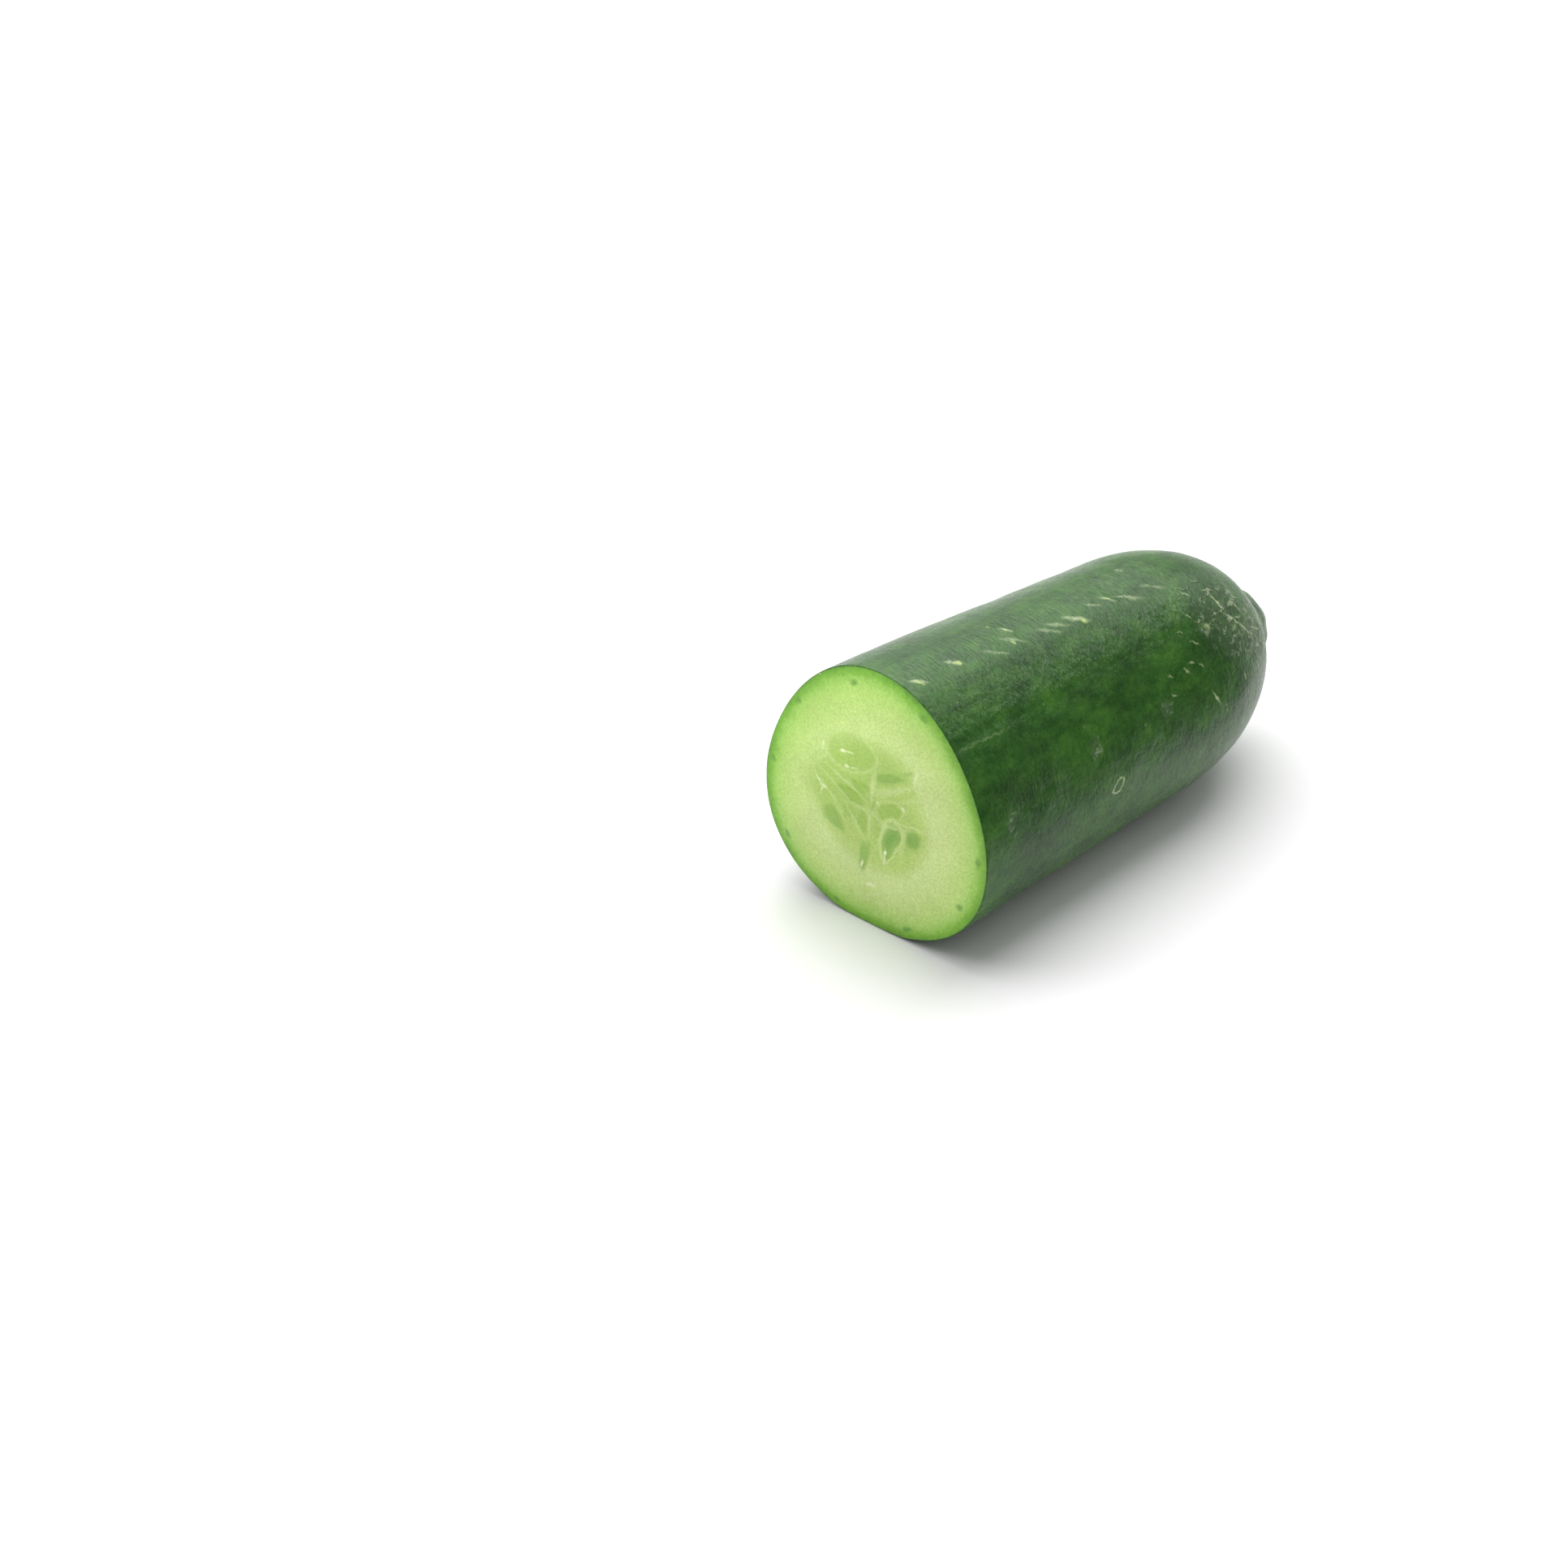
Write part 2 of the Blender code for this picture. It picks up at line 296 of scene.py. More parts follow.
class Graph:
    """A short way to lay out the nodes of one material or group."""

    def __init__(self, tree: bpy.types.NodeTree) -> None:
        """Keep the tree that nodes are added to."""
        self.tree = tree

    def put(self, socket: Socket, value: object) -> None:
        """Give a socket a value, or link it to an output.

        Args:
            socket: The input socket.
            value: A plain value or an output socket.
        """
        if isinstance(value, Socket):
            self.tree.links.new(value, socket)
        else:
            socket.default_value = value

    def fill(self, node: bpy.types.Node, **inputs: object) -> None:
        """Fill a node's inputs by name, with _ for a space."""
        for name, value in inputs.items():
            self.put(node.inputs[name.replace("_", " ")], value)

    def node(self, kind: str, **inputs: object) -> bpy.types.Node:
        """Add a node and fill its inputs by name.

        Args:
            kind: The node's type name.
            **inputs: Values or outputs for the node's inputs.

        Returns:
            The node.
        """
        made = self.tree.nodes.new(kind)
        self.fill(made, **inputs)
        return made

    def math(self, operation: str, *values: object, clamp: bool = False) -> Socket:
        """Add a Math node.

        Args:
            operation: What it works out.
            *values: Its inputs in order.
            clamp: Whether the result is held between 0 and 1.

        Returns:
            Its output.
        """
        made = self.tree.nodes.new("ShaderNodeMath")
        made.operation = operation
        made.use_clamp = clamp
        for socket, value in zip(made.inputs, values):
            self.put(socket, value)
        return made.outputs[0]

    def plus(self, first: object, second: object) -> Socket:
        """Add two numbers."""
        return self.math("ADD", first, second)

    def minus(self, first: object, second: object) -> Socket:
        """Take the second number from the first."""
        return self.math("SUBTRACT", first, second)

    def times(self, first: object, second: object) -> Socket:
        """Multiply two numbers."""
        return self.math("MULTIPLY", first, second)

    def vector(self, operation: str, *values: object, output: int | str = 0) -> Socket:
        """Add a Vector Math node.

        Args:
            operation: What it works out.
            *values: Its inputs in order.
            output: The output to give back.

        Returns:
            The output.
        """
        made = self.tree.nodes.new("ShaderNodeVectorMath")
        made.operation = operation
        for socket, value in zip(made.inputs, values):
            self.put(socket, value)
        return made.outputs[output]

    def mix(self, share: object, first: object, second: object, blend: str = "MIX") -> Socket:
        """Mix two colours.

        Args:
            share: How much of the second colour.
            first: The colour at 0.
            second: The colour at 1.
            blend: The way the second colour acts.

        Returns:
            The mixed colour.
        """
        made = self.tree.nodes.new("ShaderNodeMix")
        made.data_type = "RGBA"
        made.blend_type = blend
        for index, value in ((0, share), (6, first), (7, second)):
            self.put(made.inputs[index], value)
        return made.outputs[2]

    def span(self, value: object, low: float, high: float, bottom: float = 0.0,
             top: float = 1.0) -> Socket:
        """Ease from bottom to top as value runs from low to high.

        Args:
            value: The number to read.
            low: Where it starts.
            high: Where it ends.
            bottom: The result at the start.
            top: The result at the end.

        Returns:
            The eased number.
        """
        made = self.tree.nodes.new("ShaderNodeMapRange")
        made.interpolation_type = "SMOOTHSTEP"
        for socket, given in zip(made.inputs, (value, low, high, bottom, top)):
            self.put(socket, given)
        return made.outputs[0]

    def noise(self, vector: object, scale: float, detail: float = 2.0,
              roughness: float = 0.5) -> Socket:
        """Add a noise that runs between about 0 and 1.

        Args:
            vector: Where to read it.
            scale: Lumps per metre.
            detail: How many finer layers it has.
            roughness: How strong the finer layers are.

        Returns:
            The noise.
        """
        return self.node("ShaderNodeTexNoise", Vector=vector, Scale=scale, Detail=detail,
                         Roughness=roughness).outputs[0]

    def drift(self, vector: object, scale: float, reach: float) -> Socket:
        """Make a vector that wanders by up to half of reach along each axis.

        Args:
            vector: Where to read it.
            scale: Lumps per metre.
            reach: From its lowest to its highest, in metres.

        Returns:
            The wandering vector.
        """
        cloud = self.node("ShaderNodeTexNoise", Vector=vector, Scale=scale, Detail=2.0)
        centred = self.vector("SUBTRACT", cloud.outputs["Color"], (0.5, 0.5, 0.5))
        return self.vector("MULTIPLY", centred, (reach, reach, reach))

    def ramp(self, value: object, stops: Stops) -> Socket:
        """Read a colour off a ramp.

        Args:
            value: Where to read, 0 to 1.
            stops: Positions and colours in order.

        Returns:
            The colour.
        """
        made = self.tree.nodes.new("ShaderNodeValToRGB")
        self.put(made.inputs[0], value)
        items = made.color_ramp.elements
        items[0].position, items[0].color = stops[0]
        items[1].position, items[1].color = stops[-1]
        for position, colour in stops[1:-1]:
            items.new(position).color = colour
        return made.outputs[0]

    def tint(self, colour: object, value: object, stops: Stops) -> Socket:
        """Multiply a colour by one that is read off a ramp."""
        return self.mix(1.0, colour, self.ramp(value, stops), "MULTIPLY")

    def bump(self, height: object, distance: float, strength: float) -> Socket:
        """Turn a height into a normal."""
        return self.node("ShaderNodeBump", Strength=strength, Distance=distance,
                         Height=height).outputs[0]

    def place(self) -> Socket:
        """Read the place on the object."""
        return self.tree.nodes.new("ShaderNodeTexCoord").outputs["Object"]

    def stretched(self, vector: object, scale: Place, turn: float = 0.0) -> Socket:
        """Scale coordinates, and turn them about Z by an angle in degrees."""
        return self.node("ShaderNodeMapping", Vector=vector, Scale=scale,
                         Rotation=(0.0, 0.0, math.radians(turn))).outputs[0]

    def split(self, vector: object) -> tuple[Socket, Socket, Socket]:
        """Split a vector into its X, Y and Z."""
        return tuple(self.node("ShaderNodeSeparateXYZ", Vector=vector).outputs)

    def attribute(self, name: str) -> Socket:
        """Read a number that the mesh carries.

        Args:
            name: The attribute's name.

        Returns:
            The number.
        """
        made = self.tree.nodes.new("ShaderNodeAttribute")
        made.attribute_name = name
        return made.outputs["Fac"]


def start_material(name: str) -> tuple[bpy.types.Material, Graph, bpy.types.Node]:
    """Start a material.

    Args:
        name: The material's name.

    Returns:
        The material, its graph and its shader.
    """
    material = bpy.data.materials.new(name)
    material.use_nodes = True
    tree = material.node_tree
    return material, Graph(tree), tree.nodes["Principled BSDF"]


def make_spot_group() -> bpy.types.NodeTree:
    """Build the soft oval mask that seeds, strands, scars and scratches share.

    Returns:
        The node group, with a filled mask and an outline mask as outputs.
    """
    tree = bpy.data.node_groups.new("soft_spot", "ShaderNodeTree")
    sockets = tree.interface
    for name in ("Vector", "Centre", "Turn", "Size"):
        sockets.new_socket(name, in_out="INPUT", socket_type="NodeSocketVector")
    for name in ("Softness", "Taper", "Strength", "Before"):
        sockets.new_socket(name, in_out="INPUT", socket_type="NodeSocketFloat")
    for name in ("Fill", "Outline"):
        sockets.new_socket(name, in_out="OUTPUT", socket_type="NodeSocketFloat")
    graph = Graph(tree)
    given = tree.nodes.new("NodeGroupInput").outputs
    out = tree.nodes.new("NodeGroupOutput")
    local = graph.node("ShaderNodeMapping", Vector=given["Vector"], Location=given["Centre"],
                       Rotation=given["Turn"], Scale=given["Size"])
    local.vector_type = "TEXTURE"
    long, deep, wide = graph.split(local.outputs[0])
    width = graph.math("MAXIMUM", graph.minus(1.0, graph.times(given["Taper"], long)), 0.2)
    side = graph.math("DIVIDE", wide, width)
    squares = graph.plus(graph.times(long, long), graph.times(side, side))
    distance = graph.math("SQRT", graph.plus(squares, graph.times(deep, deep)))
    fill = graph.span(distance, graph.plus(1.0, given["Softness"]),
                      graph.minus(1.0, given["Softness"]))
    line = graph.span(graph.math("ABSOLUTE", graph.minus(distance, 1.0)), given["Softness"], 0.0)
    for name, mask in (("Fill", fill), ("Outline", line)):
        mask = graph.times(mask, given["Strength"])
        graph.put(out.inputs[name], graph.math("MAXIMUM", mask, given["Before"]))
    return tree


@dataclass(frozen=True)
class SpotMap:
    """The flat map on which a material lays its spots, in X and Z."""

    graph: Graph
    group: bpy.types.NodeTree
    vector: Socket
    unit: float
    centre: Callable[[Spot], Place]

    def lay(self, spot: Spot, before: object, output: str = "Fill") -> Socket:
        """Lay one spot and join it to the mask of those before it.

        Args:
            spot: The spot.
            before: The mask that it joins.
            output: Fill for the oval or Outline for a line along its edge.

        Returns:
            The mask, 0 to 1.
        """
        made = self.graph.tree.nodes.new("ShaderNodeGroup")
        made.node_tree = self.group
        self.graph.fill(made, Vector=self.vector, Centre=self.centre(spot),
                        Turn=(0.0, -math.radians(spot.turn), 0.0),
                        Size=(spot.long * self.unit, 1.0, spot.wide * self.unit),
                        Softness=spot.soft, Taper=spot.taper, Strength=spot.strength,
                        Before=before)
        return made.outputs[output]

    def lay_all(self, mark: Mark, fills: tuple[Spot, ...], rings: tuple[Spot, ...]) -> Socket:
        """Lay every spot of one kind.

        Args:
            mark: The kind.
            fills: Spots that are filled.
            rings: Spots that are only an outline.

        Returns:
            The mask of all of them.
        """
        mask: object = 0.0
        for given, output in ((fills, "Fill"), (rings, "Outline")):
            for spot in given:
                if spot.mark is mark:
                    mask = self.lay(spot, mask, output)
        return mask


# ---------------------------------------------------------------- finishes


@dataclass(frozen=True)
class FleshFinish:
    """The wet pale flesh of the cut face, from the green rim to the seeds."""

    name: str = "cucumber_flesh"
    rim: Stops = (
        (0.000, screen(94, 146, 42)), (0.012, screen(106, 160, 45)),
        (0.030, screen(116, 171, 50)), (0.052, screen(127, 180, 60)),
        (0.080, screen(150, 195, 86)), (0.120, screen(168, 205, 106)),
        (0.180, screen(180, 210, 118)), (0.260, screen(188, 213, 128)),
        (0.360, screen(195, 217, 138)), (0.460, screen(198, 219, 144)),
        (0.560, screen(184, 209, 120)), (0.700, screen(176, 202, 110)),
    )
    vein: Colour = screen(96, 150, 54)
    vein_reach: float = 0.925
    speck: Colour = screen(226, 238, 190)
    # In the order that they lie over each other
    tones: tuple[tuple[Mark, Colour], ...] = (
        (Mark.GEL, screen(169, 199, 101)),
        (Mark.CELL, screen(154, 188, 84)),
        (Mark.GREEN, screen(139, 178, 80)),
        (Mark.CORE, screen(118, 164, 68)),
        (Mark.STRAND, screen(196, 216, 142)),
        (Mark.WHITE, screen(228, 238, 194)),
    )

    def ground(self, graph: Graph, place: Socket) -> Socket:
        """Colour the flesh by its depth below the skin, with a slightly ragged rim.

        Args:
            graph: The material's graph.
            place: The place on the object.

        Returns:
            The colour.
        """
        wander = graph.times(graph.minus(graph.noise(place, 150.0, 3.0), 0.5), 0.07)
        fine = graph.times(graph.minus(graph.noise(place, 900.0, 3.0, 0.7), 0.5), 0.06)
        depth = graph.plus(graph.attribute("rim_depth"), wander)
        return graph.ramp(graph.math("ADD", depth, fine, clamp=True), self.rim)

    def veins(self, laid: SpotMap) -> Socket:
        """Lay the bundles of veins in a ring a little way in from the skin.

        Args:
            laid: The map that the spots lie on.

        Returns:
            Their mask.
        """
        mask: object = 0.0
        for index, turn in enumerate(VEIN_TURNS):
            reach = self.vein_reach + 0.012 * math.sin(5.0 * index)
            angle = math.radians(turn)
            mask = laid.lay(Spot(Mark.VEIN, reach * math.cos(angle), reach * math.sin(angle),
                                 0.030 + 0.008 * math.sin(3.0 * index), 0.022, turn + 90.0,
                                 0.7, 0.8), mask)
        return mask

    def make(self, group: bpy.types.NodeTree, middle: Vector) -> bpy.types.Material:
        """Build the material.

        Args:
            group: The soft oval mask.
            middle: The middle of the cut face.

        Returns:
            The material.
        """
        material, graph, shader = start_material(self.name)
        place = graph.place()
        colour = self.ground(graph, place)
        laid = SpotMap(graph, group, graph.vector("ADD", place, graph.drift(place, 330.0, 0.0011)),
                       MEAN_RADIUS, lambda spot: (middle.x + spot.across * MEAN_RADIUS, middle.y,
                                                  middle.z + spot.up * MEAN_RADIUS))
        colour = graph.mix(self.veins(laid), colour, self.vein)
        for mark, tone in self.tones:
            colour = graph.mix(laid.lay_all(mark, FACE_SPOTS, FACE_RINGS), colour, tone)

        # Painted light: brighter and more yellow towards the upper left, where the light falls on
        # the face; then grain, cloudy tone and pale specks
        right, _, up = graph.split(place)
        lean = graph.minus(graph.times(up, 0.8), graph.times(right, 0.6))
        colour = graph.tint(colour, graph.times(lean, 20.0), (
            (0.05, (1.10, 1.07, 1.12, 1.0)), (0.42, (1.06, 1.04, 1.05, 1.0)),
            (0.80, (1.16, 1.22, 1.04, 1.0))))
        grain = graph.noise(place, 2600.0, 3.0, 0.75)
        colour = graph.tint(colour, grain, (
            (0.30, (0.82, 0.84, 0.78, 1.0)), (0.5, WHITE), (0.70, (1.15, 1.13, 1.24, 1.0))))
        colour = graph.tint(colour, graph.noise(place, 95.0), (
            (0.3, (0.93, 0.94, 0.90, 1.0)), (0.7, (1.05, 1.05, 1.06, 1.0))))
        cells = graph.node("ShaderNodeTexVoronoi", Vector=place, Scale=420.0)
        speck = graph.times(graph.span(cells.outputs["Distance"], 0.16, 0.04),
                            graph.span(graph.noise(place, 260.0), 0.55, 0.68))
        colour = graph.mix(graph.times(speck, 0.7), colour, self.speck)

        wet = graph.span(graph.noise(place, 500.0), 0.3, 0.7, 0.34, 0.52)
        height = graph.plus(graph.times(grain, 0.6), graph.times(graph.noise(place, 620.0), 0.8))
        graph.fill(shader, Base_Color=colour, Roughness=wet, Specular_IOR_Level=0.4,
                   Subsurface_Weight=0.25, Subsurface_Radius=(0.7, 1.0, 0.35),
                   Subsurface_Scale=0.0008, Normal=graph.bump(height, 0.00012, 0.55))
        return material


@dataclass(frozen=True)
class SkinFinish:
    """The waxy dark green skin with its lengthwise streaks, rubbed scars and scratches."""

    name: str = "cucumber_skin"
    dark: Colour = screen(34, 74, 20)
    green: Colour = screen(44, 91, 25)
    light: Colour = screen(58, 106, 31)
    # scar is the grey of a rubbed scar and also a painted highlight on its raised folds; groove is
    # painted shade between them
    scar: Colour = screen(158, 174, 140)
    groove: Colour = screen(36, 54, 34)
    pale: Colour = screen(180, 198, 150)
    spine: Colour = screen(178, 196, 112)

    def ground(self, graph: Graph, place: Socket, streaks: Socket, mottle: Socket) -> Socket:
        """Colour the skin with broad patches, lengthwise streaks and a fine mottle.

        Args:
            graph: The material's graph.
            place: The place on the object.
            streaks: The dark streaks.
            mottle: The fine mottle.

        Returns:
            The colour.
        """
        colour = graph.ramp(graph.noise(place, 62.0, 4.0, 0.62),
                            ((0.32, self.dark), (0.50, self.green), (0.74, self.light)))
        colour = graph.mix(graph.span(streaks, 0.46, 0.72, 0.0, 0.55), colour, self.dark)
        pale = graph.noise(graph.stretched(place, (1.0, 0.14, 1.0)), 210.0, 3.0, 0.55)
        colour = graph.mix(graph.span(pale, 0.58, 0.78, 0.0, 0.30), colour, self.light)
        blotch = graph.noise(graph.stretched(place, (1.0, 0.45, 1.0)), 340.0, 3.0, 0.6)
        colour = graph.tint(colour, blotch, (
            (0.32, (0.62, 0.72, 0.66, 1.0)), (0.5, WHITE), (0.68, (1.50, 1.26, 1.30, 1.0))))
        return graph.tint(colour, mottle, (
            (0.25, (0.70, 0.75, 0.70, 1.0)), (0.5, WHITE), (0.75, (1.36, 1.26, 1.36, 1.0))))

    def scarred(self, graph: Graph, colour: Socket, scar: Socket, crease: Socket) -> Socket:
        """Lay the rubbed scars over the skin: a faint grey scar tone, a painted highlight on their
        raised folds and painted shade in the grooves between them.

        Args:
            graph: The material's graph.
            colour: The skin's colour.
            scar: How rubbed it is.
            crease: The noise of the folds.

        Returns:
            The colour.
        """
        # Painted highlight: the scar's pale grey, faint all over and strongest on the raised folds
        folds = graph.span(graph.span(crease, 0.53, 0.66), 0.0, 1.0, 0.14, 1.0)
        colour = graph.mix(graph.times(scar, folds), colour, self.scar)
        # Painted shade: dark in the grooves between the folds
        painted_groove_shade = graph.times(scar, graph.times(graph.span(crease, 0.47, 0.36), 0.9))
        return graph.mix(painted_groove_shade, colour, self.groove)

    def make(self, group: bpy.types.NodeTree, length: float) -> bpy.types.Material:
        """Build the material.

        Args:
            group: The soft oval mask.
            length: The fruit's length.

        Returns:
            The material.
        """
        material, graph, shader = start_material(self.name)
        place = graph.place()
        flat = graph.tree.nodes.new("ShaderNodeUVMap")
        flat.uv_map = "skin_map"
        around, along, _ = graph.split(flat.outputs[0])
        streaks = graph.noise(graph.stretched(place, (1.0, 0.14, 1.0)), 330.0, 4.0, 0.6)
        mottle = graph.noise(place, 780.0, 4.0, 0.7)
        colour = self.ground(graph, place, streaks, mottle)

        warped = graph.vector("ADD", place, graph.drift(place, 420.0, 0.0040))
        crease = graph.noise(graph.stretched(warped, (1.0, 0.45, 1.0), -35.0), 760.0)
        scar = graph.attribute("rubbed")
        # Rubbed scars, with a painted highlight on their folds and painted shade in the grooves
        colour = self.scarred(graph, colour, scar, crease)

        # Scratches, spine bases and faint dots, laid on the map round the fruit
        laid = graph.node("ShaderNodeCombineXYZ", X=around, Z=along).outputs[0]
        ragged = graph.vector("MULTIPLY", graph.drift(place, 700.0, 0.0016), (1.0, 0.0, 1.0))

        def centre(spot: Spot) -> Place:
            """Find a spot's centre on the map, which starts and ends at the underside."""
            turn = (spot.across + 90.0) % 360.0 - 90.0
            return (math.radians(turn) * MEAN_RADIUS, 0.0, spot.up * length)

        marks = SpotMap(graph, group, graph.vector("ADD", laid, ragged), MILLIMETRE, centre)
        scratch = marks.lay_all(Mark.SCRATCH, SKIN_SPOTS, SKIN_RINGS)
        worn = graph.span(graph.noise(place, 1300.0), 0.30, 0.60, 0.40, 1.00)
        colour = graph.mix(graph.times(scratch, worn), colour, self.pale)
        colour = graph.mix(marks.lay_all(Mark.SPINE, SKIN_SPOTS, SKIN_RINGS), colour, self.spine)
        dots = graph.node("ShaderNodeTexVoronoi", Vector=place, Scale=260.0)
        dots = graph.times(graph.span(dots.outputs["Distance"], 0.13, 0.05),
                           graph.span(graph.noise(place, 120.0), 0.56, 0.66, 0.0, 0.35))
        colour = graph.mix(dots, colour, self.pale)

        # Leathery wrinkles that run across the fruit, strongest on its upper side
        across = graph.stretched(place, (0.34, 1.0, 0.34))
        band = graph.times(graph.span(around, 0.0205, 0.0245),
                           graph.span(around, 0.0360, 0.0315, 0.35, 1.0))
        band = graph.times(band, graph.span(along, 0.090, 0.020, 0.45, 1.0))
        patchy = graph.span(graph.noise(place, 48.0), 0.38, 0.60, 0.0, 0.45)
        height = graph.times(graph.noise(across, 1500.0, 3.0, 0.6),
                             graph.math("MAXIMUM", band, patchy))
        height = graph.plus(graph.times(height, 1.4),
                            graph.times(graph.noise(place, 620.0, 4.0, 0.65), 0.45))
        height = graph.plus(height, graph.times(streaks, 0.30))
        folds = graph.times(graph.span(crease, 0.53, 0.66), graph.times(scar, 1.6))
        height = graph.plus(height, folds)

        gloss = graph.plus(graph.span(mottle, 0.25, 0.75, 0.22, 0.34), graph.times(scar, 0.15))
        graph.fill(shader, Base_Color=colour, Roughness=gloss, Specular_IOR_Level=0.30,
                   Normal=graph.bump(height, 0.00050, 0.85))
        return material


@dataclass(frozen=True)
class ScarFinish:
    """The small dry brown scar where the flower was, dark in the middle and green at its edge."""

    name: str = "cucumber_scar"
    radius: float = 0.0021
    fibres: Stops = ((0.3, screen(92, 88, 52)), (0.6, screen(142, 130, 84)),
                     (0.8, screen(170, 158, 112)))
    hollow: Colour = screen(58, 48, 26)
    edge: Colour = screen(52, 88, 26)

    def make(self, tip: Vector) -> bpy.types.Material:
        """Build the material.

        Args:
            tip: The middle of the scar.

        Returns:
            The material.
        """
        material, graph, shader = start_material(self.name)
        place = graph.place()
        fibres = graph.noise(place, 900.0, 4.0, 0.7)
        off = graph.plus(graph.vector("DISTANCE", place, tip, output="Value"),
                         graph.times(graph.minus(fibres, 0.5), 0.0012))
        hollow = graph.span(off, 0.45 * self.radius, 0.15 * self.radius, 0.0, 0.75)
        edge = graph.span(off, 0.66 * self.radius, 0.84 * self.radius)
        colour = graph.mix(hollow, graph.ramp(fibres, self.fibres), self.hollow)
        graph.fill(shader, Base_Color=graph.mix(edge, colour, self.edge),
                   Roughness=graph.span(fibres, 0.2, 0.8, 0.6, 0.85),
                   Normal=graph.bump(fibres, 0.0003, 0.7))
        return material


# ---------------------------------------------------------------- the fruit


@dataclass
class Section:
    """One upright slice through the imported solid."""

    along: float
    middle: Vector
    half_width: float
    half_height: float


@dataclass
class CutCucumber:
    """The cucumber end as one closed piece: skin, cut face and flower scar."""

    node: str = "cucumber"
    # The cage
    sides: int = 60
    body_rings: int = 30
    crown_rings: int = 32
    crown_share: float = 0.60
    cap_rings: int = 19
    cap_crowding: float = 0.92
    refinement: int = 2
    rim_bevel: float = 0.00016
    # How far the skin's relief rises or sinks
    swell: float = 0.00020
    dent: float = 0.00012
    lump: float = 0.00005
    pore: float = 0.00002
    crease: float = 0.00009
    spine_rise: float = 0.00022
    spine_radius: float = 0.0014
    scar_sink: float = 0.00016
    pucker: float = 0.00010
    # The flower scar's lip and hollow
    lip_rise: float = 0.00012
    lip_radius: float = 0.0021
    hollow_sink: float = 0.00030
    # The relief of the cut face
    seed_rise: float = 0.00016
    core_sink: float = 0.00014
    core_height: float = 0.0258
    face_middle: Vector = field(default_factory=lambda: Vector((-0.00204, -0.063724, 0.02584)))
    # Read from the solid
    low: Vector = field(init=False)
    high: Vector = field(init=False)
    length: float = field(init=False)
    guide: bpy.types.Object = field(init=False)
    piece: bpy.types.Object = field(init=False)
    sections: list[Section] = field(init=False)
    tip: Vector = field(init=False)
    # Worked out for every corner of the piece
    corners: np.ndarray = field(init=False)
    normals: np.ndarray = field(init=False)
    along: np.ndarray = field(init=False)
    turn: np.ndarray = field(init=False)
    reach: np.ndarray = field(init=False)
    on_cut: np.ndarray = field(init=False)
    rim_reach: np.ndarray = field(init=False)
    share: np.ndarray = field(init=False)
    rubbed: np.ndarray = field(init=False)
    tip_distance: np.ndarray = field(init=False)

    def __post_init__(self) -> None:
        """Read the solid's box."""
        self.low, self.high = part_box(self.node)
        self.length = self.high.y - self.low.y

    def make_guide(self) -> None:
        """Copy the solid, merge the copy, open it at the cut and smooth it."""
        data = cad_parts[self.node].data.copy()
        self.guide = bpy.data.objects.new("guide", data)
        bpy.context.scene.collection.objects.link(self.guide)
        only(self.guide)
        bpy.ops.object.mode_set(mode="EDIT")
        bpy.ops.mesh.select_all(action="SELECT")
        bpy.ops.mesh.remove_doubles(threshold=TOUCH)
        bpy.ops.mesh.tris_convert_to_quads(face_threshold=math.radians(25),
                                           shape_threshold=math.radians(60))
        bpy.ops.mesh.select_all(action="DESELECT")
        bpy.ops.object.mode_set(mode="OBJECT")
        for face in data.polygons:
            face.select = face.center.y < self.low.y + TOUCH
        bpy.ops.object.mode_set(mode="EDIT")
        bpy.ops.mesh.delete(type="FACE")
        bpy.ops.object.mode_set(mode="OBJECT")
        refine(self.guide, 2)

    def measure(self) -> None:
        """Slice the guide at each ring of the cage."""
        data = self.guide.data
        corners = self.read(data.vertices, "co")
        edges = np.empty(len(data.edges) * 2, int)
        data.edges.foreach_get("vertices", edges)
        first, second = corners[edges[0::2]], corners[edges[1::2]]
        body = self.length * self.crown_share
        rings = [body * ring / self.body_rings for ring in range(self.body_rings)]
        for ring in range(self.crown_rings):
            swing = 0.5 * math.pi * ring / self.crown_rings
            rings.append(body + (self.length - body) * math.sin(swing))
        self.sections = []
        for along in rings:
            level = self.low.y + min(max(along, 2.0 * TOUCH), self.length - 2.0 * TOUCH)
            cut = (first[:, 1] - level) * (second[:, 1] - level) < 0.0
            share = ((level - first[cut, 1]) / (second[cut, 1] - first[cut, 1]))[:, None]
            points = first[cut] + share * (second[cut] - first[cut])
            low, high = points.min(axis=0), points.max(axis=0)
            middle = Vector((0.5 * (low[0] + high[0]), self.low.y + along,
                             0.5 * (low[2] + high[2])))
            self.sections.append(Section(along, middle, 0.5 * (high[0] - low[0]),
                                         0.5 * (high[2] - low[2])))
        last = self.sections[-1].middle
        self.tip = Vector((last.x, self.high.y, last.z))

